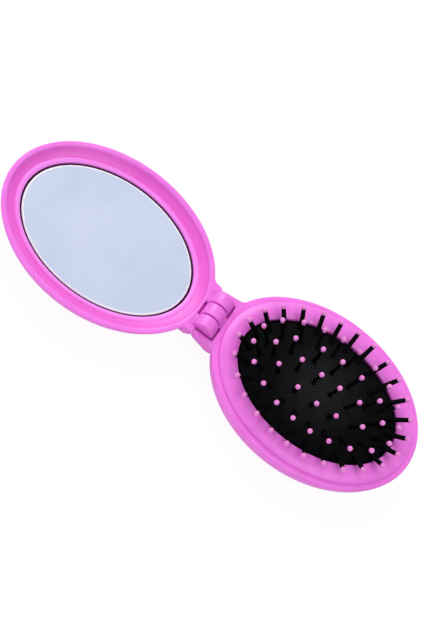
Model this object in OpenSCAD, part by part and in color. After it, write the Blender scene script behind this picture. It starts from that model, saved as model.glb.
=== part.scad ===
// Folding hairbrush with a mirror, opened out flat.
// The frame stands on the surface under the hinge: X runs towards the brush half, Y along
// the hinge pin, Z up. Both halves are ovals whose rims lie in one plane, and the lid half
// swings over the top about the pin and closes on the brush half.

/* [Halves] */
// Half the length of each oval
oval_a = 44; // [40:0.5:48]
// Half the width of each oval
oval_b = 33.2; // [31:0.2:36]
// Height of the rim plane and the hinge pin above the surface
rim_z = 14; // [13.6:0.2:16]
// Gap between the two rims when the brush is shut
rim_gap = 0.3; // [0.2:0.05:0.5]
// Height over which each side wall curves in to its flat
wall_h = 13; // [12:0.5:13.5]
// Thickness of the back of each half
back_t = 1.8; // [1.4:0.1:2.2]

/* [Brush half] */
// Half length of the flat that the brush half rests on
case_flat = 33; // [30:0.5:35]
// Angle at which the brush half's wall starts from upright
case_start = 2; // [0:1:8]
// Shoulder outside the raised ring, which the lid's lip closes on
shoulder_w = 2.4; // [2.2:0.1:2.8]
// Width of the wall that the ring's flange covers
cover_w = 2.7; // [2.2:0.1:3]
// Depth below the rim plane of the shelf that carries the clamped stack
shelf_d = 3.6; // [3.4:0.1:3.8]
// Width of the shelf
shelf_w = 2.6; // [2.2:0.1:3]
// Half length of the thumb hole in the back
thumb_a = 10; // [9.6:0.2:12]
// Half width of the thumb hole in the back
thumb_b = 7; // [6.6:0.2:9]

/* [Ring and pad] */
// Width of the part of the ring that stands in its seat
ring_w = 4.5; // [4:0.1:5]
// Height of the ring's flat top above the rim plane
ring_h = 1.2; // [0.8:0.1:1.4]
// Thickness of the pad's clamped flange
flange_t = 1; // [0.8:0.1:1.2]
// Thickness of the clamping ring under the flange
clamp_t = 1.2; // [1:0.1:1.4]
// Thickness of the domed pad
pad_t = 1.2; // [1:0.1:1.4]
// Rise of the dome above its flange
dome_h = 6; // [5.4:0.1:6.4]
// Fullness of the dome: higher is flatter on top and steeper at the edge
dome_full = 2.4; // [2:0.1:2.8]

/* [Pins] */
// Radius of a pin's shaft
pin_r = 0.6; // [0.5:0.05:0.7]
// Radius of a ball tip
ball_r = 1; // [0.9:0.05:1.15]
// Number of pins in the middle row
row_n = 4; // [2:1:4]
// Pitch of the middle row at the pad
row_pitch = 7.8; // [7:0.1:8.2]
// Pitch of the middle row at the ball tips
row_tip_pitch = 8.7; // [8:0.1:9.2]
// Height of the middle row's ball tips above the rim plane
row_tip_h = 13.9; // [12.5:0.1:14.2]
// Height of the inner ring's ball tips
inner_tip_h = 12.6; // [11.8:0.1:12.9]
// Height of the middle ring's ball tips
middle_tip_h = 9.8; // [9.2:0.1:10.2]
// Height of the outer ring's ball tips
outer_tip_h = 6.2; // [5.6:0.1:6.6]
// Number of pins in the inner ring
inner_n = 12; // [8:1:12]
// Number of pins in the middle ring
middle_n = 20; // [14:1:20]
// Number of pins in the outer ring
outer_n = 26; // [18:1:26]

/* [Mirror half] */
// Half length of the flat that the lid rests on
lid_flat = 28; // [25:0.5:30]
// Angle at which the lid's wall starts from upright
lid_start = 16; // [12:1:20]
// Width of the lid's lip
lip_w = 2.2; // [2:0.1:2.4]
// Depth of the ledge that the mirror frame sits on
ledge_d = 2.4; // [2.2:0.1:2.8]
// Width of that ledge
ledge_w = 2.2; // [1.8:0.1:2.4]
// Clearance over the brush half's ring, which lies inside the lip when shut
nest_gap = 0.3; // [0.2:0.05:0.35]
// Width of the dished slope from the lip to the inner flat
slope_w = 5.2; // [4.6:0.1:5.4]
// Depth of the dish below the rim plane
dish_d = 3.1; // [2.8:0.1:3.4]
// Distance from the lid's edge in to the glass at its ends
glass_end_in = 8.5; // [8.3:0.1:9.4]
// Distance from the lid's edge in to the glass at its sides
glass_side_in = 8.3; // [8.1:0.1:9.2]
// Depth of the glass's face below the rim plane
glass_d = 3.55; // [3.4:0.05:3.8]
// Thickness of the glass
glass_t = 1.6; // [1.2:0.1:1.8]
// Thickness of the foam tape behind the glass
tape_t = 0.7; // [0.5:0.1:0.9]
// Thickness of the tray under the tape
tray_t = 1.2; // [1:0.1:1.4]

/* [Hinge] */
// Distance from the hinge pin to the centre of each oval
hinge_c = 48.2; // [48:0.1:49.5]
// Radius of the knuckles
knuckle_r = 4.4; // [4:0.1:4.6]
// Width of the middle knuckle, on the brush half
knuckle_mid_w = 4.8; // [4.4:0.1:5.2]
// Width of each outer knuckle, on the lid
knuckle_lid_w = 5.1; // [4.6:0.1:5.4]
// Side gap between neighbouring knuckles
knuckle_gap = 0.3; // [0.2:0.05:0.4]
// Gap between a knuckle and the neck that it turns in
knuckle_slot = 0.6; // [0.4:0.1:0.8]
// Half width of the neck
neck_w = 11.2; // [10.8:0.1:12]
// Depth of the neck below the rim plane
neck_h = 8; // [6.5:0.5:9]
// Radius of the hollow where the neck meets the oval
neck_fillet = 3.3; // [2.5:0.1:4]
// Reach of the side arms past the pin
arm_reach = 2.4; // [2:0.1:2.6]
// Radius of the steel hinge pin
hinge_pin_r = 1.25; // [1:0.05:1.4]
// Running clearance round the pin
pin_clear = 0.05; // [0.03:0.01:0.08]

/* [Button] */
// Half length of the thumb button
button_a = 9; // [8.4:0.1:9.2]
// Half width of the thumb button
button_b = 6; // [5.4:0.1:6.2]
// Height of the thumb button
button_h = 3.7; // [3.2:0.1:3.9]

/* [Hidden] */
$fn = 96;

cut = 1;             // how far a cutting solid runs past what it cuts
arc_steps = 10;      // straight steps in a curved profile
seat = 0.1;          // side clearance of a piece dropped in its seat
soft_gap = 0.2;      // gap between the rubber and what moves against it
face_z = rim_z - rim_gap / 2;   // upper face of the shoulder, the lip and the necks
shelf_z = rim_z - shelf_d;
clamp_z = shelf_z + clamp_t;
flange_z = clamp_z + flange_t;  // top of the flange, underside of the ring
bowl_in = shoulder_w + cover_w; // from the oval's edge in to the ring's seat
pad_in = bowl_in + ring_w;      // from the oval's edge in to the pad's opening
tray_z = rim_z - glass_d - glass_t - tape_t;
post_z = tray_z - tray_t;
knuckle_lid_y = knuckle_mid_w / 2 + knuckle_gap;
arm_y = knuckle_lid_y + knuckle_lid_w + knuckle_gap;
slot_x = knuckle_r + knuckle_slot;

nest_d = ring_h + nest_gap;    // depth of the mirror frame's outer edge below the rim plane
glass_a = oval_a - glass_end_in;
glass_b = oval_b - glass_side_in;

// The three rings of pins, at the ends and at the sides: how far the feet stand in from the
// pad's edge, and how far the ball tips stand in from the oval's edge
inner_foot_in = [12.4, 15.8];
inner_tip_in = [19.2, 23.1];
middle_foot_in = [7.8, 9.4];
middle_tip_in = [11.8, 13.9];
outer_foot_in = [3.8, 3.6];
outer_tip_in = [6.7, 6];
// Turn of each ring about the oval's centre, as parts of one pitch
inner_turn = 0;
middle_turn = 0.5;
outer_turn = 0.5;

pink = [0.94, 0.42, 0.86];
black = [0.07, 0.07, 0.08];
steel = [0.72, 0.73, 0.75];
silver = [0.8, 0.85, 0.92];

// A straight oval plug that stands on z
module oval(inset, z, h, a = oval_a, b = oval_b) {
    translate([0, 0, z]) linear_extrude(h) scale([1, (b - inset) / (a - inset)]) circle(a - inset);
}

// A turned profile, drawn out of round to an oval
module oval_turn(a, b) {
    scale([1, b / a, 1]) rotate_extrude() children();
}

// The same plug made by turning
module turned_plug(inset, z, h) {
    translate([0, 0, z]) oval_turn(oval_a - inset, oval_b - inset) square([oval_a - inset, h]);
}

// A wall that starts at the edge at an angle from upright and curves in to a flat
function wall_arc(a, flat, start, h) = [for (i = [0:arc_steps])
    let (t = start + (90 - start) * i / arc_steps)
    [flat + (a - flat) * cos(t) / cos(start), h * (1 - (sin(t) - sin(start)) / (1 - sin(start)))]];

// One half's bowl, cut off to a flat that it rests on
module outer_bowl(flat, start) {
    difference() {
        oval_turn(oval_a, oval_b) polygon(concat([[0, -cut], [flat, -cut]],
            [for (i = [arc_steps:-1:0]) wall_arc(oval_a, flat, start, wall_h)[i]],
            [[oval_a, face_z], [0, face_z]]));
        translate([-oval_a, -oval_b, -2 * cut]) cube([2 * oval_a, 2 * oval_b, 2 * cut]);
    }
}

// Height of the dome above its flange, at a share of the way out to its edge
function dome(share) = pow(max(0, 1 - pow(share, dome_full)), 0.5);
function dome_share(x, y) = norm([x / (oval_a - pad_in), y / (oval_b - pad_in)]);
function dome_z(x, y) = flange_z + dome_h * dome(dome_share(x, y));

// Dome profile out to a half length a and up by h, with even steps in slope
module dome_turn(a, b, h) {
    oval_turn(a, b) polygon(concat([[0, 0]], [for (i = [0:arc_steps])
        let (s = pow(sin(90 * (1 - i / arc_steps)), 2 / dome_full)) [a * s, h * dome(s)]]));
}

// The neck from the oval to the hinge, hollowed where it meets the oval
module neck(reach, h) {
    fillet_y = neck_w + neck_fillet;
    fillet_x = hinge_c - (oval_a + neck_fillet)
        * sqrt(1 - pow(fillet_y / (oval_b + neck_fillet), 2));
    root_x = hinge_c - oval_a * sqrt(1 - pow(fillet_y / oval_b, 2));
    translate([0, 0, face_z - h]) linear_extrude(h) difference() {
        translate([reach, -fillet_y]) square([root_x - reach + cut, 2 * fillet_y]);
        for (side = [-1, 1]) {
            translate([fillet_x, side * fillet_y]) circle(neck_fillet);
            translate([reach - cut, side * (neck_w + fillet_y + cut) / 2 - (neck_fillet + cut) / 2])
                square([fillet_x - reach + cut, neck_fillet + cut]);
        }
    }
}

// A bar along the hinge pin, from one y to another
module along_pin(r, y0, y1) {
    translate([0, y1, rim_z]) rotate([90, 0, 0]) cylinder(r = r, h = y1 - y0);
}

// A knuckle with the web that carries it from a neck on side dir
module knuckle(y0, w, dir) {
    along_pin(knuckle_r, y0, y0 + w);
    translate([dir > 0 ? 0 : -slot_x - cut, y0, rim_z - knuckle_r])
        cube([slot_x + cut, w, face_z - rim_z + knuckle_r]);
}

// The slot that the other half's knuckles turn in
module hinge_slot(reach, half_w) {
    translate([-reach - cut, -half_w, 0]) cube([slot_x + reach + cut, 2 * half_w, rim_z]);
}

// The bowl of the brush half, with its neck, arms and middle knuckle
module brush_case() {
    color(pink) difference() {
        union() {
            difference() {
                union() {
                    translate([hinge_c, 0, 0]) outer_bowl(case_flat, case_start);
                    neck(-arm_reach, neck_h);
                }
                hinge_slot(arm_reach, arm_y);
            }
            knuckle(-knuckle_mid_w / 2, knuckle_mid_w, 1);
        }
        translate([hinge_c, 0, 0]) {
            turned_plug(bowl_in, shelf_z, shelf_d + cut);
            turned_plug(bowl_in + shelf_w, back_t, rim_z);
            oval(0, -cut, back_t + 2 * cut, thumb_a, thumb_b);
        }
        along_pin(hinge_pin_r + pin_clear, -knuckle_lid_y, neck_w + cut);
    }
}

// The ring that frames the pad: it covers the case's wall and holds the pad's flange down
module pad_ring() {
    color(pink) translate([hinge_c, 0, 0]) difference() {
        union() {
            oval(bowl_in + seat, flange_z, face_z - flange_z + seat);
            oval(shoulder_w, face_z, ring_h + rim_z - face_z);
        }
        oval(pad_in, flange_z - cut, face_z + ring_h);
    }
}

// The ring under the pad's flange
module pad_clamp() {
    color(black) translate([hinge_c, 0, 0]) difference() {
        oval(bowl_in + seat, shelf_z, clamp_t);
        oval(bowl_in + shelf_w + seat, shelf_z - cut, clamp_t + 2 * cut);
    }
}

// The rubber pad: a domed skin with a flat flange
module rubber_pad() {
    color(black) translate([hinge_c, 0, 0]) difference() {
        union() {
            oval(bowl_in + 5 * seat, clamp_z, flange_t);
            translate([0, 0, flange_z]) dome_turn(oval_a - pad_in - seat, oval_b - pad_in - seat, dome_h);
        }
        translate([0, 0, flange_z]) dome_turn(oval_a - pad_in - pad_t, oval_b - pad_in - pad_t,
            dome_h - pad_t);
        oval(pad_in + pad_t, clamp_z - cut, flange_t + cut);
    }
}

// Thumb button under the crown of the pad
module push_button() {
    top = flange_z + (dome_h - pad_t) * dome(button_a / (oval_a - pad_in - pad_t)) - soft_gap;
    color(pink) translate([hinge_c, 0, 0]) oval(0, top - button_h, button_h, button_a, button_b);
}

// Points of a ring, evenly spaced round an oval of half length s[0] and half width s[1]
function ring_angle(i, n, turn, s) = let (u = 360 * (i + turn) / n,
    out = (pow(s[0], 2) - pow(s[1], 2)) / (pow(s[0], 2) + pow(s[1], 2)))
    u + out / 4 * sin(2 * u) * 180 / PI;
function ring_pins(n, turn, foot_in, tip_in, tip_h) = [for (i = [0:n - 1])
    let (tip = [oval_a, oval_b] - tip_in, foot = [oval_a - pad_in, oval_b - pad_in] - foot_in,
        t = ring_angle(i, n, turn, tip), x = foot[0] * cos(t), y = foot[1] * sin(t))
    [[x, y, dome_z(x, y)], [tip[0] * cos(t), tip[1] * sin(t), rim_z + tip_h]]];
function inner_pins() = ring_pins(inner_n, inner_turn, inner_foot_in, inner_tip_in, inner_tip_h);
function middle_pins() =
    ring_pins(middle_n, middle_turn, middle_foot_in, middle_tip_in, middle_tip_h);
function outer_pins() = ring_pins(outer_n, outer_turn, outer_foot_in, outer_tip_in, outer_tip_h);
function row_pins() = [for (i = [0:row_n - 1])
    let (k = i - (row_n - 1) / 2, x = k * row_pitch)
    [[x, 0, dome_z(x, 0)], [k * row_tip_pitch, 0, rim_z + row_tip_h]]];

// Puts a child that points up on a pin's line, at its ball's centre
module at_tip(pin) {
    d = pin[1] - pin[0];
    translate([hinge_c, 0, 0]) translate(pin[1])
        rotate([0, acos(d[2] / norm(d)), atan2(d[1], d[0])]) children();
}

// Shafts from just above the rubber to the flat under each ball
module shafts(pins) {
    color(black) for (pin = pins)
        at_tip(pin) translate([0, 0, -norm(pin[1] - pin[0]) + pin_lift])
            cylinder(r = pin_r, h = norm(pin[1] - pin[0]) - pin_lift - ball_cut);
}

// Balls, each cut flat where its shaft meets it
module balls(pins) {
    color(pink) for (pin = pins) at_tip(pin) difference() {
        sphere(ball_r);
        translate([0, 0, -ball_cut - cut]) cylinder(r = 2 * ball_r, h = cut);
    }
}

pin_lift = 0.6;      // start of a shaft above the rubber, clear of its slope
ball_cut = sqrt(pow(ball_r, 2) - pow(pin_r, 2));

module pins_row() shafts(row_pins());
module tips_row() balls(row_pins());
module pins_inner() shafts(inner_pins());
module tips_inner() balls(inner_pins());
module pins_middle() shafts(middle_pins());
module tips_middle() balls(middle_pins());
module pins_outer() shafts(outer_pins());
module tips_outer() balls(outer_pins());

// Steel pin, put in from the far side and stopped by the near knuckle
pin_end = knuckle_lid_y + knuckle_lid_w;   // outer face of the lid's knuckles
pin_stop = 1.2;                            // wall left in the near knuckle
module hinge_pin() {
    color(steel) along_pin(hinge_pin_r, -pin_end + pin_stop + seat, pin_end - seat);
}

// The shell of the mirror half, with its neck and two knuckles
module lid_shell() {
    color(pink) difference() {
        union() {
            difference() {
                union() {
                    translate([-hinge_c, 0, 0]) outer_bowl(lid_flat, lid_start);
                    mirror([1, 0, 0]) neck(arm_reach + knuckle_gap, neck_h);
                }
                mirror([1, 0, 0]) hinge_slot(0, arm_y - knuckle_gap);
            }
            knuckle(knuckle_lid_y, knuckle_lid_w, -1);
            knuckle(-knuckle_lid_y - knuckle_lid_w, knuckle_lid_w, -1);
        }
        translate([-hinge_c, 0, 0]) {
            oval(lip_w, rim_z - ledge_d, rim_z);
            difference() {
                lid_hollow();
                for (x = [-1, 1], y = [-1, 1])
                    translate([x * post_x, y * post_y, 0]) cylinder(r = post_r, h = post_z);
            }
        }
        along_pin(hinge_pin_r + pin_clear, -pin_end + pin_stop, neck_w + cut);
    }
}

post_r = 2.5;        // glue posts that carry the mirror's tray
post_x = 20;
post_y = 10;
hollow_floor = 10.6; // from the oval's edge in to the foot of the lid's hollow
hollow_z = 7;        // height at which the lid's hollow starts to narrow

// The space inside the lid: straight down from its ledge, then narrowing to its floor
module lid_hollow() {
    a = oval_a - lip_w - ledge_w;
    b = oval_b - lip_w - ledge_w;
    oval_turn(a, b) polygon([[0, back_t], [oval_a - hollow_floor, back_t], [a, hollow_z],
        [a, hollow_z + cut], [0, hollow_z + cut]]);
    oval(lip_w + ledge_w + seat, hollow_z, rim_z);
}

// The dished frame that borders the mirror, with the tray that holds it
module mirror_frame() {
    edge = lip_w + seat;
    tray = lip_w + ledge_w + 4 * seat;
    top_a = oval_a - edge;
    top_b = oval_b - edge;
    color(pink) translate([-hinge_c, 0, 0]) difference() {
        union() {
            oval(edge, rim_z - ledge_d, ledge_d - nest_d);
            oval(tray, post_z, rim_z - ledge_d - post_z);
        }
        oval_turn(top_a, top_b) polygon([[0, rim_z - dish_d], [top_a - slope_w, rim_z - dish_d],
            [top_a, rim_z - nest_d], [top_a, rim_z + cut], [0, rim_z + cut]]);
        oval(-seat * 2, tray_z, rim_z, glass_a, glass_b);
    }
}

// Foam tape between the tray and the glass
module mirror_tape() {
    color(black) translate([-hinge_c, 0, 0]) oval(3, tray_z, tape_t, glass_a, glass_b);
}

// The mirror glass
module mirror_glass() {
    color(silver) translate([-hinge_c, 0, 0]) oval(0, tray_z + tape_t, glass_t, glass_a, glass_b);
}

brush_case();
pad_ring();
pad_clamp();
rubber_pad();
push_button();
pins_row();
pins_inner();
pins_middle();
pins_outer();
tips_row();
tips_inner();
tips_middle();
tips_outer();
hinge_pin();
lid_shell();
mirror_frame();
mirror_tape();
mirror_glass();
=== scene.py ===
import math
import random
from collections import namedtuple

import bmesh
import bpy
from mathutils import Matrix, Vector
from mathutils.geometry import tessellate_polygon


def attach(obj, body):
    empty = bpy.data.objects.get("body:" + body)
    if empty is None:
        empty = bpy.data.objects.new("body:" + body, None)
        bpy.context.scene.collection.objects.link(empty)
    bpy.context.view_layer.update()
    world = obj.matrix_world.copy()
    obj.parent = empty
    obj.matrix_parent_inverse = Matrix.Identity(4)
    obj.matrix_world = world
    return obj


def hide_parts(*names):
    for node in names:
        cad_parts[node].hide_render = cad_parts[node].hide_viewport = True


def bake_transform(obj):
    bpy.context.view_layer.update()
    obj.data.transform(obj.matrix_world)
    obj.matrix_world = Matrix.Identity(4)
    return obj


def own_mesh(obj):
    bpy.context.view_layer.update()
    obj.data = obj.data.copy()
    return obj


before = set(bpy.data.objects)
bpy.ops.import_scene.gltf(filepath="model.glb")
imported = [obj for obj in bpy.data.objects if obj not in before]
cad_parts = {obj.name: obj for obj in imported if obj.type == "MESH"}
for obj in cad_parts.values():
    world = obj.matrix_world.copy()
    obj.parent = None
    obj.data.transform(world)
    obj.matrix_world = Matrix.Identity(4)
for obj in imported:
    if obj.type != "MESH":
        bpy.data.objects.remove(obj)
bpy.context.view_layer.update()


# ---------------------------------------------------------------------------
# Brush half: the moulded bowl with its rolled shoulder, neck, side arms and middle knuckle.
# Satin pink ABS, injection moulded in one piece, so every edge has a small moulding radius.
# The pad, the clamp and the ring drop into its seat, and the thumb hole is in its back.

MM = 0.001


def ellipse(centre_x, half_x, half_y, z, angles):
    """Points of a level oval."""
    return [(centre_x + half_x * math.cos(t), half_y * math.sin(t), z) for t in angles]


class Mesh:
    """Vertices in millimetres and faces, gathered loop by loop."""

    def __init__(self):
        self.verts, self.faces = [], []

    def loop(self, points):
        """Adds a row of vertices and gives their numbers."""
        start = len(self.verts)
        self.verts += [tuple(p) for p in points]
        return list(range(start, start + len(points)))

    def strip(self, lower, upper, closed=True):
        """Quads between two rows of the same length."""
        n = len(lower)
        for i in range(n if closed else n - 1):
            j = (i + 1) % n
            self.faces.append((lower[i], lower[j], upper[j], upper[i]))

    def loft(self, loops, closed=True):
        """Strips from each row of points to the next."""
        made = [self.loop(p) for p in loops]
        for low, high in zip(made, made[1:]):
            self.strip(low, high, closed)
        return made

    def fill(self, ids):
        """Triangles across one row of vertices."""
        flat = [Vector(self.verts[i]) for i in ids]
        for tri in tessellate_polygon([flat]):
            self.faces.append(tuple(ids[k] for k in tri))

    def fan(self, ids, centre):
        """Triangles from a row of vertices to one point."""
        mid = self.loop([centre])[0]
        for a, b in zip(ids, ids[1:] + ids[:1]):
            self.faces.append((a, b, mid))

    def piece(self, name, material, weld=0.0005, sharp=None):
        """The finished object, welded, with outward normals and smooth shading."""
        data = bpy.data.meshes.new(name)
        data.from_pydata([Vector(v) * MM for v in self.verts], [], self.faces)
        work = bmesh.new()
        work.from_mesh(data)
        bmesh.ops.remove_doubles(work, verts=work.verts, dist=weld * MM)
        bmesh.ops.dissolve_degenerate(work, dist=weld * MM / 4, edges=work.edges)
        bmesh.ops.recalc_face_normals(work, faces=work.faces)
        for face in work.faces:
            face.smooth = True
        if sharp is not None:
            for edge in work.edges:
                if len(edge.link_faces) == 2 and edge.calc_face_angle(0) > math.radians(sharp):
                    edge.smooth = False
        work.to_mesh(data)
        work.free()
        obj = bpy.data.objects.new(name, data)
        bpy.context.scene.collection.objects.link(obj)
        data.materials.append(material)
        return obj


def rounded(corners, steps=5):
    """A profile of (inset, z) points; a corner with a third value is rounded to that radius."""
    out = []
    for k, corner in enumerate(corners):
        if len(corner) == 2 or k in (0, len(corners) - 1):
            out.append(corner[:2])
            continue
        here = Vector(corner[:2])
        before = (Vector(corners[k - 1][:2]) - here).normalized()
        after = (Vector(corners[k + 1][:2]) - here).normalized()
        half = math.acos(max(-1, min(1, before.dot(after)))) / 2
        reach = corner[2] / math.tan(half)
        middle = here + (before + after).normalized() * corner[2] / math.sin(half)
        first, last = here + before * reach, here + after * reach
        out.append(tuple(first + (first - last).normalized() * 0.05))
        for i in range(steps + 1):
            ray = (first - middle).lerp(last - middle, i / steps)
            out.append(tuple(middle + ray.normalized() * corner[2]))
        out.append(tuple(last + (last - first).normalized() * 0.05))
    return out


def arc(cx, cy, r, a0, a1, steps, out):
    """(x, y, normal x, normal y) along an arc in degrees; out is 1 if the solid is inside it."""
    made = []
    for i in range(steps + 1):
        t = math.radians(a0 + (a1 - a0) * i / steps)
        c, s = math.cos(t), math.sin(t)
        made.append((cx + r * c, cy + r * s, out * c, out * s))
    return made


HALF_A, HALF_B = 44, 33.2   # half axes of each oval
HINGE_X = 48.2              # from the hinge pin to each oval's centre
FACE_Z = 13.85              # upper face of the rims and necks
EDGE_R = 0.38               # moulding radius along the rims and the neck
EDGE_IN = 0.12              # flat left between that radius and the first row of the face
SLOT_X = 5.2                # back wall of the slot that the knuckles turn in
SLOT_R = 0.4                # corner radius of the slot
SLOT_LEAN = 0.33            # how far its back wall leans in, as a share of its depth
NECK_HALF = 11.2            # half width of a neck
HOLLOW_R = 3.3              # radius of the hollow where the neck meets the oval
HOLLOW_DEEP = 0.8           # depth of the neck's wall where the hollow starts
ARM_DEEP = 3.3              # depth of the neck's wall at an arm's end
ARM_R = 0.55                # corner radius of an arm, larger than EDGE_R and EDGE_IN together

# A neck's reach past the pin, the slot's far and near half widths, the wall's depth, and how
# much the far arm draws in towards its end.
Neck = namedtuple("Neck", "reach slot_far slot_near deep taper")


def tangent_angle():
    """The oval's angle where the hollow touches it, and the hollow's centre and direction."""
    low, high = math.radians(120), math.radians(178)
    for _ in range(50):
        t = (low + high) / 2
        n = Vector((math.cos(t) / HALF_A, math.sin(t) / HALF_B)).normalized()
        if HALF_B * math.sin(t) + HOLLOW_R * n.y > NECK_HALF + HOLLOW_R:
            low = t
        else:
            high = t
    return t, HINGE_X + HALF_A * math.cos(t) + HOLLOW_R * n.x, n


TANGENT, HOLLOW_X, HOLLOW_N = tangent_angle()
OVAL_STEPS, HID_STEPS = 300, 40
SEEN = [-TANGENT + 2 * TANGENT * i / OVAL_STEPS for i in range(OVAL_STEPS + 1)]
HIDDEN = [TANGENT + 2 * (math.pi - TANGENT) * i / HID_STEPS for i in range(1, HID_STEPS)]


def neck_side(reach, slot_half, deep, taper=0.0):
    """The neck's upper side, from the oval's tangent point to the slot's back wall. Fifth value:
    the depth of its wall there, which thins out to the arm's end and along the hollow. Sixth: how
    far the wall leans in under the knuckles. The side draws in by taper towards the arm's end."""
    start = math.degrees(math.atan2(-HOLLOW_N.y, -HOLLOW_N.x))
    side = [p + (HOLLOW_DEEP + (deep - HOLLOW_DEEP) * math.sin(math.pi / 2 * (i / 14) ** 0.7), 0)
            for i, p in enumerate(arc(HOLLOW_X, NECK_HALF + HOLLOW_R, HOLLOW_R, start, -90, 14, -1))]
    end_x = reach + ARM_R
    for k in range(1, 8):
        x = HOLLOW_X + (end_x - HOLLOW_X) * k / 8
        out = max(0, (SLOT_X - x) / (SLOT_X - reach))
        side.append((x, NECK_HALF - taper * k / 8, 0, 1, deep - (deep - ARM_DEEP) * out, 0))
    side += [p + (ARM_DEEP, 0) for p in arc(end_x, NECK_HALF - ARM_R - taper, ARM_R, 90, 180, 6, 1)]
    side += [p + (ARM_DEEP, 0) for p in arc(end_x, slot_half + ARM_R, ARM_R, 180, 270, 6, 1)]
    side += [p + (deep, SLOT_LEAN * deep)
             for p in arc(SLOT_X - SLOT_R, slot_half - SLOT_R, SLOT_R, 90, 0, 6, -1)]
    return side


def neck_outline(reach, slot_far, slot_near, deep, taper):
    """The neck from the oval's upper tangent point round to its lower one."""
    near = [(x, -y, nx, -ny, depth, lean)
            for x, y, nx, ny, depth, lean in reversed(neck_side(reach, slot_near, deep))]
    return neck_side(reach, slot_far, deep, taper) + near


def half_shell(mesh, neck_sizes, inner_loop, outer_wall, roll_w, roll_h):
    """One half's rim face, neck and outer wall, in the brush half's own place. The rim rolls
    over by roll_w and roll_h, easing to the neck's plain moulding radius at the hollows."""
    oval = [(HINGE_X + HALF_A * math.cos(t), HALF_B * math.sin(t),
             *Vector((math.cos(t) / HALF_A, math.sin(t) / HALF_B)).normalized()) for t in SEEN]
    neck = neck_outline(*neck_sizes)
    around = oval + [p[:4] for p in neck[1:-1]]

    ease = [min(1, (TANGENT - abs(t)) / 0.4) for t in SEEN]
    ease = [e * e * (3 - 2 * e) for e in ease] + [0] * (len(neck) - 2)
    wide = [EDGE_R + (roll_w - EDGE_R) * e for e in ease]
    deep = [EDGE_R + (roll_h - EDGE_R) * e for e in ease]

    rows = [[(x - nx * (w + EDGE_IN), y - ny * (w + EDGE_IN), FACE_Z)
             for (x, y, nx, ny), w in zip(around, wide)]]
    for i in range(9):
        s, c = 1 - math.sin(math.pi / 2 * i / 8), 1 - math.cos(math.pi / 2 * i / 8)
        rows.append([(x - nx * w * s, y - ny * w * s, FACE_Z - h * c)
                     for (x, y, nx, ny), w, h in zip(around, wide, deep)])
    made = mesh.loft(rows)
    top, n = made[0], len(oval)
    mesh.strip(inner_loop[:n], top[:n], closed=False)
    mesh.fill(top[n - 1:] + top[:1] + inner_loop[:1] + inner_loop[n:][::-1] + inner_loop[n - 1:n])
    angles = SEEN + HIDDEN
    rim = [(x, y, FACE_Z - h) for (x, y, _), h in zip(ellipse(HINGE_X, HALF_A, HALF_B, 0, angles),
                                                   deep[:len(SEEN)] + [EDGE_R] * len(HIDDEN))]
    walls = mesh.loft([rim] + [ellipse(HINGE_X, HALF_A - d, HALF_B - e, z, angles)
                               for d, e, z in outer_wall])
    neck_rows = [[(x, y, FACE_Z - EDGE_R) for x, y, *_ in neck]]
    for d, z in ((0, 0.35), (0.1, 0.1), (0.35, 0)):     # the rounded lower edge of the neck's wall
        neck_rows.append([(x - nx * d - lean, y - ny * d, FACE_Z - max(depth, EDGE_R + 0.35) + z)
                          for x, y, nx, ny, depth, lean in neck])
    under = mesh.loft(neck_rows, closed=False)[-1]
    behind = []            # closes the neck's underside inside the thickness of the bowl's wall
    for i in range(HID_STEPS - 1, 0, -1):
        sink = min(1, 1.6 * math.sin(math.pi * i / HID_STEPS))
        t = HIDDEN[i - 1]
        d = 1.2 + 1.6 * sink
        behind.append((HINGE_X + (HALF_A - d) * math.cos(t), (HALF_B - d) * math.sin(t),
                       FACE_Z - HOLLOW_DEEP - (neck_sizes.deep - HOLLOW_DEEP) * sink))
    mesh.fill(under + mesh.loop(behind))
    return walls


def wall_profile(flat_x, start, height=13, steps=22):
    """(inset along x, inset along y, z) down the outer wall to the flat it rests on."""
    made = []
    s0 = math.radians(start)
    for i in range(steps + 1):
        t = s0 + (math.pi / 2 - s0) * i / steps
        share = (flat_x + (HALF_A - flat_x) * math.cos(t) / math.cos(s0)) / HALF_A
        z = height * (1 - (math.sin(t) - math.sin(s0)) / (1 - math.sin(s0)))
        made.append((HALF_A * (1 - share), HALF_B * (1 - share), z))
    return made


PIN_Z = 14                  # height of the hinge pin
KNUCKLE_R, KNUCKLE_EDGE = 4.4, 0.45
BORE_R = 1.3
WEB_X = 5.5                 # reach of a knuckle's web into its neck
BLIND_WALL = 1.2            # wall left at the end of the near knuckle's blind bore


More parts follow.
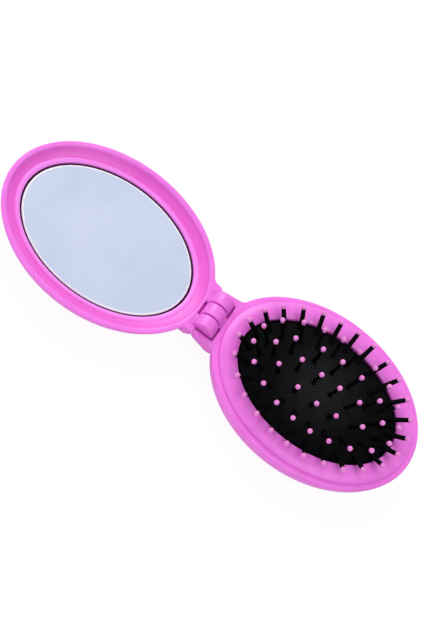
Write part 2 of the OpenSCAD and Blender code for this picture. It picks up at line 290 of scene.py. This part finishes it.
def barrel(mesh, y0, y1, blind=False):
    """A knuckle: a barrel round the hinge pin and the web that joins it to its neck."""
    turn = [math.radians(360 * i / 72) for i in range(72)]

    def ring(y, r):
        return [(r * math.cos(t), y, PIN_Z + r * math.sin(t)) for t in turn]

    rows = [ring(y0, BORE_R), ring(y0, KNUCKLE_R - 0.6)]
    rows += [ring(y0 + KNUCKLE_EDGE * (1 - math.sin(t)), KNUCKLE_R + KNUCKLE_EDGE * (math.cos(t) - 1))
             for t in [math.pi / 2 * (1 - i / 5) for i in range(6)]]
    rows += [[(x, y0 + y1 - y, z) for x, y, z in row] for row in reversed(rows)]
    if blind:
        rows.append(ring(y0 + BLIND_WALL, BORE_R))
    else:
        rows.append(rows[0])
    made = mesh.loft(rows)
    if blind:
        mesh.fan(made[-1], (0, y0 + BLIND_WALL, PIN_Z))
        mesh.fan(made[0], (0, y0, PIN_Z))
    block = []             # the web, with its ends 0.03 inside the barrel's so that no faces coincide
    for y, d in ((y0 + 0.03, 0.3), (y0 + 0.12, 0.09), (y0 + 0.33, 0)):
        low, high = PIN_Z - KNUCKLE_R + d, FACE_Z - 0.01 - d
        block.append([(0, y, low), (WEB_X, y, low), (WEB_X, y, high), (0, y, high)])
    block += [[(x, y0 + y1 - y, z) for x, y, z in row] for row in reversed(block)]
    made = mesh.loft(block)
    mesh.fill(made[0])
    mesh.fill(made[-1])


def node_group(name, inputs, outputs):
    """A new shader node group with its ends: (label, kind, value) in and (label, kind) out."""
    group = bpy.data.node_groups.new(name, "ShaderNodeTree")
    for label, kind, value in inputs:
        group.interface.new_socket(label, in_out="INPUT", socket_type=kind).default_value = value
    for label, kind in outputs:
        group.interface.new_socket(label, in_out="OUTPUT", socket_type=kind)
    return group, group.nodes.new("NodeGroupInput"), group.nodes.new("NodeGroupOutput")


def node(tree, kind, links=(), **values):
    """A node with constants set on its sockets and, as (socket, source output), its links."""
    made = tree.nodes.new(kind)
    for key, value in values.items():
        if key in made.bl_rna.properties:
            setattr(made, key, value)
        else:
            made.inputs[key.replace("_", " ")].default_value = value
    for socket, source in links:
        tree.links.new(source, made.inputs[socket])
    return made


def ranged(tree, source, low, high, at_low, at_high, **values):
    """Takes a value from low..high to at_low..at_high."""
    return node(tree, "ShaderNodeMapRange", [("Value", source)], From_Min=low, From_Max=high,
                To_Min=at_low, To_Max=at_high, **values)


def moulded_surface():
    """Shared by every plastic piece: a faint grain in the surface and slow unevenness."""
    group, given, result = node_group(
        "moulded_surface", [("Grain", "NodeSocketFloat", 1.0), ("Roughness", "NodeSocketFloat", 0.35)],
        [("Normal", "NodeSocketVector"), ("Roughness", "NodeSocketFloat"), ("Mottle", "NodeSocketFloat")])
    where = node(group, "ShaderNodeTexCoord")
    fine = node(group, "ShaderNodeTexNoise", [("Vector", where.outputs["Object"])],
                Scale=2600.0, Detail=2.0, Roughness=0.6)
    slow = node(group, "ShaderNodeTexNoise", [("Vector", where.outputs["Object"])],
                Scale=90.0, Detail=3.0, Roughness=0.55)
    depth = node(group, "ShaderNodeMath", [(0, given.outputs["Grain"])], operation="MULTIPLY")
    depth.inputs[1].default_value = 0.000006
    bump = node(group, "ShaderNodeBump", [("Height", fine.outputs["Fac"]),
                                          ("Distance", depth.outputs[0])], Strength=1.0)
    span = ranged(group, slow.outputs["Fac"], 0.3, 0.7, -0.04, 0.05)
    rough = node(group, "ShaderNodeMath", [(0, given.outputs["Roughness"]), (1, span.outputs[0])],
                 operation="ADD")
    group.links.new(bump.outputs["Normal"], result.inputs["Normal"])
    group.links.new(rough.outputs[0], result.inputs["Roughness"])
    group.links.new(slow.outputs["Fac"], result.inputs["Mottle"])
    return group


SURFACE = moulded_surface()


def plastic(name, dark, light, roughness, grain=1.0, **extra):
    """A moulded plastic or rubber whose colour drifts slightly between two close tones."""
    made = bpy.data.materials.new(name)
    made.use_nodes = True
    tree = made.node_tree
    shader = tree.nodes["Principled BSDF"]
    skin = tree.nodes.new("ShaderNodeGroup")
    skin.node_tree = SURFACE
    skin.inputs["Grain"].default_value = grain
    skin.inputs["Roughness"].default_value = roughness
    ramp = node(tree, "ShaderNodeValToRGB", [("Fac", skin.outputs["Mottle"])])
    ramp.color_ramp.elements[0].position, ramp.color_ramp.elements[1].position = 0.3, 0.7
    ramp.color_ramp.elements[0].color, ramp.color_ramp.elements[1].color = (*dark, 1), (*light, 1)
    tree.links.new(ramp.outputs["Color"], shader.inputs["Base Color"])
    tree.links.new(skin.outputs["Normal"], shader.inputs["Normal"])
    tree.links.new(skin.outputs["Roughness"], shader.inputs["Roughness"])
    for key, value in extra.items():
        shader.inputs[key.replace("_", " ")].default_value = value
    return made


# A roughness of 0.3 rendered with hard-edged patches where it drifts, so this is a little rougher.
PINK = plastic("pink_abs", (0.86, 0.155, 0.73), (0.92, 0.195, 0.8), 0.33, 0.4,
               Subsurface_Weight=0.12, Subsurface_Scale=0.0015, IOR=1.5)
PINK.node_tree.nodes["Principled BSDF"].inputs["Subsurface Radius"].default_value = (1, 0.35, 0.8)

ALL_ROUND = SEEN + HIDDEN
brush = Mesh()
inside = rounded([(2.3, 13.85), (5.1, 13.85, 0.15), (5.1, 10.4, 0.1), (7.7, 10.4, 0.2),
                  (7.7, 1.8, 1.2), (12, 1.8)])
rows = [ellipse(HINGE_X, HALF_A - d, HALF_B - d, z, ALL_ROUND) for d, z in inside]
thumb_hole = [(10.9, 7.9, 1.8), (10.4, 7.4, 1.8), (10.1, 7.1, 1.65), (10, 7, 1.35), (10, 7, 0.5),
              (10.15, 7.15, 0.15), (10.5, 7.5, 0), (11, 8, 0)]
rows += [ellipse(HINGE_X, a, b, z, ALL_ROUND) for a, b, z in thumb_hole]
inner = brush.loft(rows)
neck = Neck(reach=-2.46, slot_far=8.1, slot_near=9.25, deep=6.6, taper=0.9)
outer = half_shell(brush, neck, inner[0], wall_profile(33, 2), 1.3, 0.8)
brush.strip(inner[-1], outer[-1])
barrel(brush, -3.0, 2.15)
brush_shell = brush.piece("brush_shell", PINK)
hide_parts("brush_case")
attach(brush_shell, "root")


# ---------------------------------------------------------------------------
# Ring round the pad: a separate pink ABS moulding, pressed into its seat in the bowl. Its
# flat top stands above the shoulder and rolls over at the pad, whose flange it holds down.

ring = Mesh()
section = rounded([(7, 12.62), (5.22, 12.62), (5.22, 13.87), (2.42, 13.87, 0.1), (2.55, 15.2, 0.95),
                   (9.6, 15.15, 0.4), (9.6, 12.62), (7, 12.62)])
rows = [ellipse(HINGE_X, HALF_A - d, HALF_B - d, z, ALL_ROUND) for d, z in section]
ring.loft(rows)
pad_ring = ring.piece("ring_round_pad", PINK)
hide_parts("pad_ring")
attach(pad_ring, "root")


# ---------------------------------------------------------------------------
# Pad: black rubber, moulded as a thin dome with a flat flange that is clamped under the ring.
# Its skin has a fine regular grain of raised dots. The crown pops in and out with the button.

PAD_A, PAD_B = 34.3, 23.5      # half axes of the dome's foot, inside the ring
OPEN_A, OPEN_B = 34.4, 23.6    # half axes of the ring's opening
UNDER_A, UNDER_B = 33.2, 22.4  # half axes of the dome's hollow side
DOME_Z = 12.6                  # top of the flange, where the dome starts
DOME_H, UNDER_H = 6.0, 4.8     # rise of the dome's outer and hollow sides
FULLNESS = 2.4                 # higher is flatter on top and steeper at the edge
DOT_PITCH = 0.00078            # pitch of the rubber's raised dots, in metres


def dome_height(share):
    """Height of the dome, as a share of its rise, at a share of the way out to its foot."""
    return max(0, 1 - share ** FULLNESS) ** 0.5


def on_dome(x, y):
    """Height of the rubber's surface, measured from the oval's centre."""
    return DOME_Z + DOME_H * dome_height(math.hypot(x / OPEN_A, y / OPEN_B))


def tinted(tree, shader, factor, colour):
    """Mixes a second colour into the material's base colour by a factor."""
    mix = node(tree, "ShaderNodeMix", [("Factor", factor)], data_type="RGBA")
    tree.links.new(shader.inputs["Base Color"].links[0].from_socket, mix.inputs[6])
    mix.inputs[7].default_value = colour
    tree.links.new(mix.outputs[2], shader.inputs["Base Color"])


def rubber(name):
    """Matt black rubber: raised dots on a square pitch, with a painted highlight on the dots' tops near the
    crown, where the lamps catch them.
    """
    made = plastic(name, (0.001, 0.001, 0.0014), (0.002, 0.002, 0.0025), 0.6,
                   Specular_IOR_Level=0.03)
    tree = made.node_tree
    shader = tree.nodes["Principled BSDF"]
    where = node(tree, "ShaderNodeTexCoord")
    pitch = node(tree, "ShaderNodeVectorMath", [(0, where.outputs["Object"])], operation="SCALE")
    pitch.inputs["Scale"].default_value = 1 / DOT_PITCH
    cell = node(tree, "ShaderNodeVectorMath", [(0, pitch.outputs[0])], operation="FRACTION")
    mid = node(tree, "ShaderNodeVectorMath", [(0, cell.outputs[0])], operation="SUBTRACT")
    mid.inputs[1].default_value = (0.5, 0.5, 0)
    flat = node(tree, "ShaderNodeVectorMath", [(0, mid.outputs[0])], operation="MULTIPLY")
    flat.inputs[1].default_value = (1, 1, 0)
    far = node(tree, "ShaderNodeVectorMath", [(0, flat.outputs[0])], operation="LENGTH")
    dot = ranged(tree, far.outputs["Value"], 0.12, 0.34, 1.0, 0.0, interpolation_type="SMOOTHSTEP")
    old = shader.inputs["Normal"].links[0].from_socket
    bump = node(tree, "ShaderNodeBump", [("Height", dot.outputs[0]), ("Normal", old)],
                Distance=0.00006, Strength=1.0)
    tree.links.new(bump.outputs["Normal"], shader.inputs["Normal"])
    # Painted highlight: the dots' tops are mixed paler near the crown and fade out towards the pad's edge,
    # standing in for the lamps' highlight.
    crown = node(tree, "ShaderNodeVectorMath", [(0, where.outputs["Object"])], operation="DISTANCE")
    crown.inputs[1].default_value = (0.0482, 0, 0.0186)
    highlight_near_crown = ranged(tree, crown.outputs["Value"], 0.004, 0.02, 1.0, 0.07)
    painted_dot_highlight = node(tree, "ShaderNodeMath", [(0, dot.outputs[0]), (1, highlight_near_crown.outputs[0])], operation="MULTIPLY")
    tinted(tree, shader, painted_dot_highlight.outputs[0], (0.075, 0.072, 0.08, 1))
    return made


RUBBER = rubber("black_rubber")
turn = [2 * math.pi * i / 240 for i in range(240)]
pad = Mesh()
shares = [math.sin(math.pi / 2 * i / 56) ** (2 / FULLNESS) for i in range(1, 57)]
flange = [(34.6, 23.8, 12.57), (38.3, 27.5, 12.57), (38.4, 27.6, 12.3), (38.4, 27.6, 11.65),
          (UNDER_A, UNDER_B, 11.65)]
rows = [ellipse(HINGE_X, PAD_A * s, PAD_B * s, DOME_Z + DOME_H * dome_height(s), turn) for s in shares]
rows += [ellipse(HINGE_X, a, b, z, turn) for a, b, z in flange]
rows += [ellipse(HINGE_X, UNDER_A * s, UNDER_B * s, DOME_Z + UNDER_H * dome_height(s), turn)
         for s in reversed(shares)]
made = pad.loft(rows)
pad.fan(made[0], (HINGE_X, 0, DOME_Z + DOME_H))
pad.fan(made[-1], (HINGE_X, 0, DOME_Z + UNDER_H))
rubber_pad = pad.piece("pad_dome", RUBBER)
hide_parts("rubber_pad")
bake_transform(rubber_pad)


# ---------------------------------------------------------------------------
# Clamp ring under the pad's flange: black nylon, moulded and pressed into the seat of the bowl.
# It is hidden, and the part's own solid serves for it.

NYLON = plastic("black_nylon", (0.0012, 0.001, 0.0014), (0.0022, 0.002, 0.0024), 0.5,
                Specular_IOR_Level=0.03)


def coat(obj, material):
    """Puts one material on a solid that is kept from the part."""
    obj.data.materials.clear()
    obj.data.materials.append(material)


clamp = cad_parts["pad_clamp"]
coat(clamp, NYLON)


# ---------------------------------------------------------------------------
# Pins: black nylon, moulded with a flared foot that stands on the rubber, in a row of four and
# three rings that splay outwards. Real ones are never quite even, so each leans a little.

RIM_Z = 14          # height that the tips' heights are measured from


def ring_pins(count, turn_by, foot_in, tip_in, tip_h):
    """(foot x, foot y, tip x, tip y, tip z) of evenly spaced pins. foot_in is how far the feet
    stand in from the pad's edge, at the ends and the sides, and tip_in the tips from the oval's."""
    foot = (OPEN_A - foot_in[0], OPEN_B - foot_in[1])
    tip = (HALF_A - tip_in[0], HALF_B - tip_in[1])
    out = (tip[0] ** 2 - tip[1] ** 2) / (tip[0] ** 2 + tip[1] ** 2)
    made = []
    for i in range(count):
        u = 2 * math.pi * (i + turn_by) / count
        t = u + out / 4 * math.sin(2 * u)
        x, y = foot[0] * math.cos(t), foot[1] * math.sin(t)
        made.append((x, y, tip[0] * math.cos(t), tip[1] * math.sin(t), RIM_Z + tip_h))
    return made


ROW_PITCH, ROW_TIP_PITCH, ROW_TIP_Z = 7.8, 8.7, 27.9
PIN_SETS = {
    "row": ([(k * ROW_PITCH, 0, k * ROW_TIP_PITCH, 0, ROW_TIP_Z) for k in (-1.5, -0.5, 0.5, 1.5)], "crown"),
    "inner": (ring_pins(12, 0, (12.4, 15.8), (19.2, 23.1), 12.6), "inner_ring"),
    "middle": (ring_pins(20, 0.5, (7.8, 9.4), (11.8, 13.9), 9.8), "middle_ring"),
    "outer": (ring_pins(26, 0.5, (3.8, 3.6), (6.7, 6), 6.2), "outer_ring"),
}
LEAN = 0.28         # how far a tip may stand off its even place
chance = random.Random(11)
for key, (lines, body) in PIN_SETS.items():
    uneven = []
    for x, y, tx, ty, tz in lines:
        lean = chance.uniform(0, 2 * math.pi)
        far = LEAN * math.sqrt(chance.random())
        uneven.append((Vector((HINGE_X + x, y, on_dome(x, y))),
                       Vector((HINGE_X + tx + far * math.cos(lean), ty + far * math.sin(lean), tz))))
    PIN_SETS[key] = (uneven, body)


def turned_on(mesh, origin, axis, profile, sides):
    """A turned shape along an axis. The profile is (along, radius), and radius 0 is a point."""
    side = axis.orthogonal().normalized()
    other = axis.cross(side)
    rows, ends = [], []
    for along, r in profile:
        at = origin + axis * along
        if r == 0:
            ends.append((at, len(rows)))
        else:
            rows.append([at + (side * math.cos(t) + other * math.sin(t)) * r
                         for t in [2 * math.pi * i / sides for i in range(sides)]])
    made = mesh.loft(rows)
    for at, k in ends:
        mesh.fan(made[0] if k == 0 else made[-1], at)


for key, (lines, body) in PIN_SETS.items():
    pins = Mesh()
    thick = 1.42 if key == "outer" else 1.1
    for foot, tip in lines:
        long = (tip - foot).length
        profile = [(-0.5, 1.1), (0, 1.08), (0.22, 1.0), (0.42, 0.76 * thick), (0.75, 0.71 * thick),
                   (1.4, 0.68 * thick), (long * 0.6, 0.65 * thick), (long - 0.75, 0.62 * thick),
                   (long - 0.6, 0.61 * thick)]
        turned_on(pins, foot, (tip - foot).normalized(), profile, 16)
    made = pins.piece("pins_" + key + "_shafts", NYLON)
    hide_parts("pins_" + key)
    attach(made, body)
    if key == "outer":
        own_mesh(made)


# ---------------------------------------------------------------------------
# Ball tips: pink, made by dipping each pin, so they are glossy and run down onto the shaft.

BALLS = plastic("pink_tips", (0.78, 0.2, 0.62), (0.86, 0.27, 0.7), 0.21, 0.4,
                Subsurface_Weight=0.2, Subsurface_Scale=0.0008)
for key, (lines, body) in PIN_SETS.items():
    tips = Mesh()
    run_r = 0.92 if key == "outer" else 0.74    # radius of the run of plastic on the shaft
    start = math.degrees(math.asin(run_r))
    profile = [(-math.cos(math.radians(start)) - 0.25, run_r - 0.01)]
    profile += [(-math.cos(t), math.sin(t))
                for t in [math.radians(start + (168 - start) * i / 11) for i in range(12)]]
    profile += [(1.0, 0)]
    for foot, tip in lines:
        turned_on(tips, tip, (tip - foot).normalized(), profile, 20)
    made = tips.piece("tips_" + key + "_balls", BALLS)
    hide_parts("tips_" + key)
    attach(made, body)
    if key == "outer":
        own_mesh(made)


# ---------------------------------------------------------------------------
# Thumb button under the crown: a plain moulded block of the pink ABS, which moves with the
# crown. It is seen only through the thumb hole, and the part's own solid serves for it.

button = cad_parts["push_button"]
coat(button, PINK)


# ---------------------------------------------------------------------------
# Hinge pin: drawn steel, pushed in from the far side and stopped by the near knuckle's blind
# bore. Hardly any of it shows, and the part's own solid serves for it.

STEEL = bpy.data.materials.new("steel")
STEEL.use_nodes = True
steel = STEEL.node_tree.nodes["Principled BSDF"]
steel.inputs["Base Color"].default_value = (0.5, 0.5, 0.52, 1)
steel.inputs["Metallic"].default_value = 1
steel.inputs["Roughness"].default_value = 0.3
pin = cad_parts["hinge_pin"]
coat(pin, STEEL)


# ---------------------------------------------------------------------------
# Mirror half: the lid, injection moulded in one piece in the same pink ABS, with its lip, the
# ledge that carries the mirror frame, its neck and two knuckles. It is made in the brush half's
# place and turned over to the other side of the hinge.

lid = Mesh()
inside = rounded([(1.2, 13.85), (2.2, 13.85, 0.75), (2.22, 11.6, 0.1), (2.9, 11.6, 0.1),
                  (4.4, 10.1, 0.3), (4.4, 7, 1.5), (10, 2.0, 1.0), (13, 1.8)])
rows = [ellipse(HINGE_X, HALF_A - d, HALF_B - d, z, ALL_ROUND) for d, z in inside]
inner = lid.loft(rows)
lid.fan(inner[-1], (HINGE_X, 0, 1.8))
neck = Neck(reach=2.62, slot_far=7.8, slot_near=8.4, deep=5.4, taper=0.3)
outer = half_shell(lid, neck, inner[0], wall_profile(28, 16), 0.5, 0.5)
lid.fan(outer[-1], (HINGE_X, 0, 0))
barrel(lid, 2.65, 7.8)
barrel(lid, -8.45, -3.5, blind=True)
lid.verts = [(-x, y, z) for x, y, z in lid.verts]
lid_shell = lid.piece("mirror_lid", PINK)
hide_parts("lid_shell")
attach(lid_shell, "lid")


# ---------------------------------------------------------------------------
# Mirror frame: a dished pink ABS border that snaps inside the lip, with the mirror's tray.
# Its inner edge is thin and raised in a low bead.


def shaded_border_pink(name):
    """The lid's pink with painted shade: the whole dished border is a deeper pink than the lid, for the shade
    in the dish. A painted highlight makes it paler along the raised bead at its inner edge."""
    # Painted shade: these two tones are deeper than the lid's own pink.
    made = plastic(name, (0.84, 0.1, 0.62), (0.89, 0.122, 0.67), 0.33, 0.4, Subsurface_Weight=0.12,
                   Subsurface_Scale=0.0015, IOR=1.5)
    tree = made.node_tree
    shader = tree.nodes["Principled BSDF"]
    shader.inputs["Subsurface Radius"].default_value = (1, 0.35, 0.8)
    where = node(tree, "ShaderNodeTexCoord")
    from_middle = node(tree, "ShaderNodeVectorMath", [(0, where.outputs["Object"])], operation="SUBTRACT")
    from_middle.inputs[1].default_value = (-HINGE_X * MM, 0, 0)
    share = node(tree, "ShaderNodeVectorMath", [(0, from_middle.outputs[0])], operation="MULTIPLY")
    inner_edge = (0.0363, 0.0257)      # half axes of the border's inner edge, in metres
    share.inputs[1].default_value = (1 / inner_edge[0], 1 / inner_edge[1], 0)
    far = node(tree, "ShaderNodeVectorMath", [(0, share.outputs[0])], operation="LENGTH")
    # Painted highlight: a paler band along the inner bead, where the key lamp catches it.
    bead_highlight = ranged(tree, far.outputs["Value"], 1.035, 1.08, 1.0, 0.0, interpolation_type="SMOOTHSTEP")
    tinted(tree, shader, bead_highlight.outputs[0], (0.93, 0.24, 0.85, 1))
    return made


BORDER_A, BORDER_B, BORDER_Z = 41.76, 30.96, 12.52   # where the border meets the lip
DISH_A, DISH_B, DISH_DEEP = 3.3, 3.15, 1.55          # the dish's width at ends and sides, its depth
BEAD_A, BEAD_B, BEAD_H = 0.85, 0.83, 0.2             # half the bead's width, and its height
border = Mesh()
rows = [(39.2, 28.4, 6.95), (39.2, 28.4, 10.0), (40.6, 29.8, 11.2), (41.3, 30.5, 11.62),
        (BORDER_A, BORDER_B, 11.75), (BORDER_A, BORDER_B, BORDER_Z)]
for i in range(1, 17):
    u = i / 16
    rows.append((BORDER_A - DISH_A * u, BORDER_B - DISH_B * u,
                 BORDER_Z - DISH_DEEP * (1.25 * u - 0.25 * u ** 3)))
for i in range(1, 13):
    t = math.pi * i / 12
    over = 1 - math.cos(t)
    rows.append((BORDER_A - DISH_A - BEAD_A * over, BORDER_B - DISH_B - BEAD_B * over,
                 BORDER_Z - DISH_DEEP + BEAD_H * math.sin(t) ** 1.5))
rows += [(36.5, 25.9, 10.93), (36.37, 25.77, 10.84), (36.35, 25.75, 10.7), (36.35, 25.75, 8.15)]
made = border.loft([ellipse(-HINGE_X, a, b, z, ALL_ROUND) for a, b, z in rows])
border.fan(made[-1], (-HINGE_X, 0, 8.15))
border.fan(made[0], (-HINGE_X, 0, 6.95))
mirror_frame = border.piece("mirror_border", shaded_border_pink("pink_border"), sharp=50)
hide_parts("mirror_frame")
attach(mirror_frame, "lid")


# ---------------------------------------------------------------------------
# Foam tape: the double-sided pad that glues the glass into the tray. It is drawn in a dark purple-pink, with
# its rim wider and higher than the tape, up into the gap round the glass. This is painted shade: the shadow
# line between glass and border.

# Painted shade: a dark purple-pink for the shadow in the gap round the glass.
TAPE_AND_GAP_SHADE = plastic("foam_tape", (0.02, 0.006, 0.018), (0.035, 0.01, 0.03), 0.85, 3, Specular_IOR_Level=0.1)
foam = Mesh()
rows = [(35.4, 24.8, 8.86), (35.55, 24.95, 8.86), (35.55, 24.95, 9.9), (35.75, 25.15, 10.0),
        (36.05, 25.45, 9.95), (36.3, 25.7, 9.8), (36.3, 25.7, 8.18)]
made = foam.loft([ellipse(-HINGE_X, a, b, z, ALL_ROUND) for a, b, z in rows])
foam.fan(made[0], (-HINGE_X, 0, 8.86))
foam.fan(made[-1], (-HINGE_X, 0, 8.18))
tape = foam.piece("mirror_foam_and_gap_shade", TAPE_AND_GAP_SHADE)
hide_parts("mirror_tape")
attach(tape, "lid")


# ---------------------------------------------------------------------------
# Mirror: an oval pane of silvered float glass, glued to the foam tape. Its edge is ground to a
# fine bevel, which shows as a white line round it.

MIRROR = bpy.data.materials.new("mirror_glass")
MIRROR.use_nodes = True
silver = MIRROR.node_tree.nodes["Principled BSDF"]
silver.inputs["Metallic"].default_value = 1
silver.inputs["Roughness"].default_value = 0.06
# Painted reflection: a blue-lilac tint with slow patches in it, put into the silvering's colour, stands in
# for the room that the mirror shows.
where = node(MIRROR.node_tree, "ShaderNodeTexCoord")
reflection_patches = node(MIRROR.node_tree, "ShaderNodeTexNoise", [("Vector", where.outputs["Object"])],
            Scale=45.0, Detail=2.0, Roughness=0.5)
tint = node(MIRROR.node_tree, "ShaderNodeValToRGB", [("Fac", reflection_patches.outputs["Fac"])])
tint.color_ramp.elements[0].position = 0.35
tint.color_ramp.elements[1].position = 0.68
tint.color_ramp.elements[0].color = (0.575, 0.645, 0.83, 1)
tint.color_ramp.elements[1].color = (0.635, 0.70, 0.865, 1)
MIRROR.node_tree.links.new(tint.outputs["Color"], silver.inputs["Base Color"])
EDGE = plastic("ground_edge", (0.93, 0.93, 0.95), (0.96, 0.96, 0.97), 0.34, 0.5)
glass = Mesh()
rows = [(34.85, 24.25, 10.45), (34.88, 24.28, 10.445), (35.45, 24.85, 10.2), (35.5, 24.9, 10.14),
        (35.5, 24.9, 8.88)]
made = glass.loft([ellipse(-HINGE_X, a, b, z, ALL_ROUND) for a, b, z in rows])
glass.fan(made[0], (-HINGE_X, 0, 10.45))
glass.fan(made[-1], (-HINGE_X, 0, 8.88))
mirror = glass.piece("mirror_pane", MIRROR)
mirror.data.materials.append(EDGE)
for face in mirror.data.polygons:
    face.material_index = 0 if abs(face.normal.z) > 0.99 else 1
    face.use_smooth = abs(face.normal.z) <= 0.99
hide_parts("mirror_glass")
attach(mirror, "lid")


# ---------------------------------------------------------------------------
# Floor: a plain matt white sheet, under the object and a little below its flats. The camera
# sees it as white where no shadow falls on it.

FLOOR = bpy.data.materials.new("white_floor")
FLOOR.use_nodes = True
tree = FLOOR.node_tree
matt = tree.nodes["Principled BSDF"]
matt.inputs["Base Color"].default_value = (0.9, 0.9, 0.9, 1)
matt.inputs["Roughness"].default_value = 0.9
glow = node(tree, "ShaderNodeEmission", Strength=1.03)
rays = node(tree, "ShaderNodeLightPath")
share = node(tree, "ShaderNodeMath", [(0, rays.outputs["Is Camera Ray"])], operation="MULTIPLY")
share.inputs[1].default_value = 0.9
shown = node(tree, "ShaderNodeMixShader", [(0, share.outputs[0]), (1, matt.outputs[0]), (2, glow.outputs[0])])
tree.links.new(shown.outputs[0], tree.nodes["Material Output"].inputs["Surface"])
data = bpy.data.meshes.new("floor")
data.from_pydata([(-3, -3, 0), (3, -3, 0), (3, 3, 0), (-3, 3, 0)], [], [(0, 1, 2, 3)])
floor_obj = bpy.data.objects.new("floor", data)
bpy.context.scene.collection.objects.link(floor_obj)
data.materials.append(FLOOR)
floor_obj.location.z = -0.0001


# ---------------------------------------------------------------------------
# Light: a bright room, a broad key lamp from the far left, a weaker one overhead and a small
# one low at the near left, which puts the highlights on the near rims.

world = bpy.data.worlds.new("room")
bpy.context.scene.world = world
world.use_nodes = True
tree = world.node_tree
back = tree.nodes["Background"]
back.inputs["Color"].default_value = (0.95, 0.96, 1, 1)
back.inputs["Strength"].default_value = 0.56
white = node(tree, "ShaderNodeBackground", Strength=1.0)
white.inputs["Color"].default_value = (1, 1, 1, 1)
rays = node(tree, "ShaderNodeLightPath")
direct = node(tree, "ShaderNodeMath", operation="MAXIMUM",
              links=[(0, rays.outputs["Is Camera Ray"]), (1, rays.outputs["Is Glossy Ray"])])
seen = node(tree, "ShaderNodeMath", operation="MAXIMUM",
            links=[(0, direct.outputs[0]), (1, rays.outputs["Is Transmission Ray"])])
mixed = node(tree, "ShaderNodeMixShader",
             [(0, seen.outputs[0]), (1, back.outputs[0]), (2, white.outputs[0])])
tree.links.new(mixed.outputs[0], tree.nodes["World Output"].inputs["Surface"])


def lamp(name, at, size, power):
    """A round area lamp that points at the object's middle."""
    light = bpy.data.lights.new(name, "AREA")
    light.shape, light.size, light.energy = "DISK", size, power
    obj = bpy.data.objects.new(name, light)
    obj.location = at
    obj.rotation_euler = (Vector((0, 0, 0.01)) - Vector(at)).to_track_quat("-Z", "Y").to_euler()
    bpy.context.scene.collection.objects.link(obj)


lamp("key", (-1.0, 1.2, 1.3), 1.4, 20.0)
lamp("overhead", (0.5, -0.2, 1.5), 0.9, 4.5)
lamp("near", (-0.6, -1.1, 0.45), 0.3, 2.2)


# ---------------------------------------------------------------------------
# Camera: a long lens that looks down steeply, placed so that the outlines fall where they do in
# the photograph.

camera = bpy.data.objects.new("camera", bpy.data.cameras.new("camera"))
bpy.context.scene.collection.objects.link(camera)
place = Vector((-42.348, -290.591, 595.471)) * MM
aim = Vector((-0.534, -0.845, 13.541)) * MM
back_axis = (place - aim).normalized()
up_axis = Vector((-0.60154, 0.73151, 0.32100))
right_axis = up_axis.cross(back_axis).normalized()
place -= right_axis * 0.3 * MM      # a last sideways nudge
up_axis = back_axis.cross(right_axis)
facing = Matrix((right_axis, up_axis, back_axis)).transposed().to_4x4()
camera.matrix_world = Matrix.Translation(place) @ facing
camera.data.sensor_width = 36
camera.data.lens = 100.25
camera.data.clip_start, camera.data.clip_end = 0.01, 10
bpy.context.scene.camera = camera
bpy.context.scene.view_settings.view_transform = "Standard"
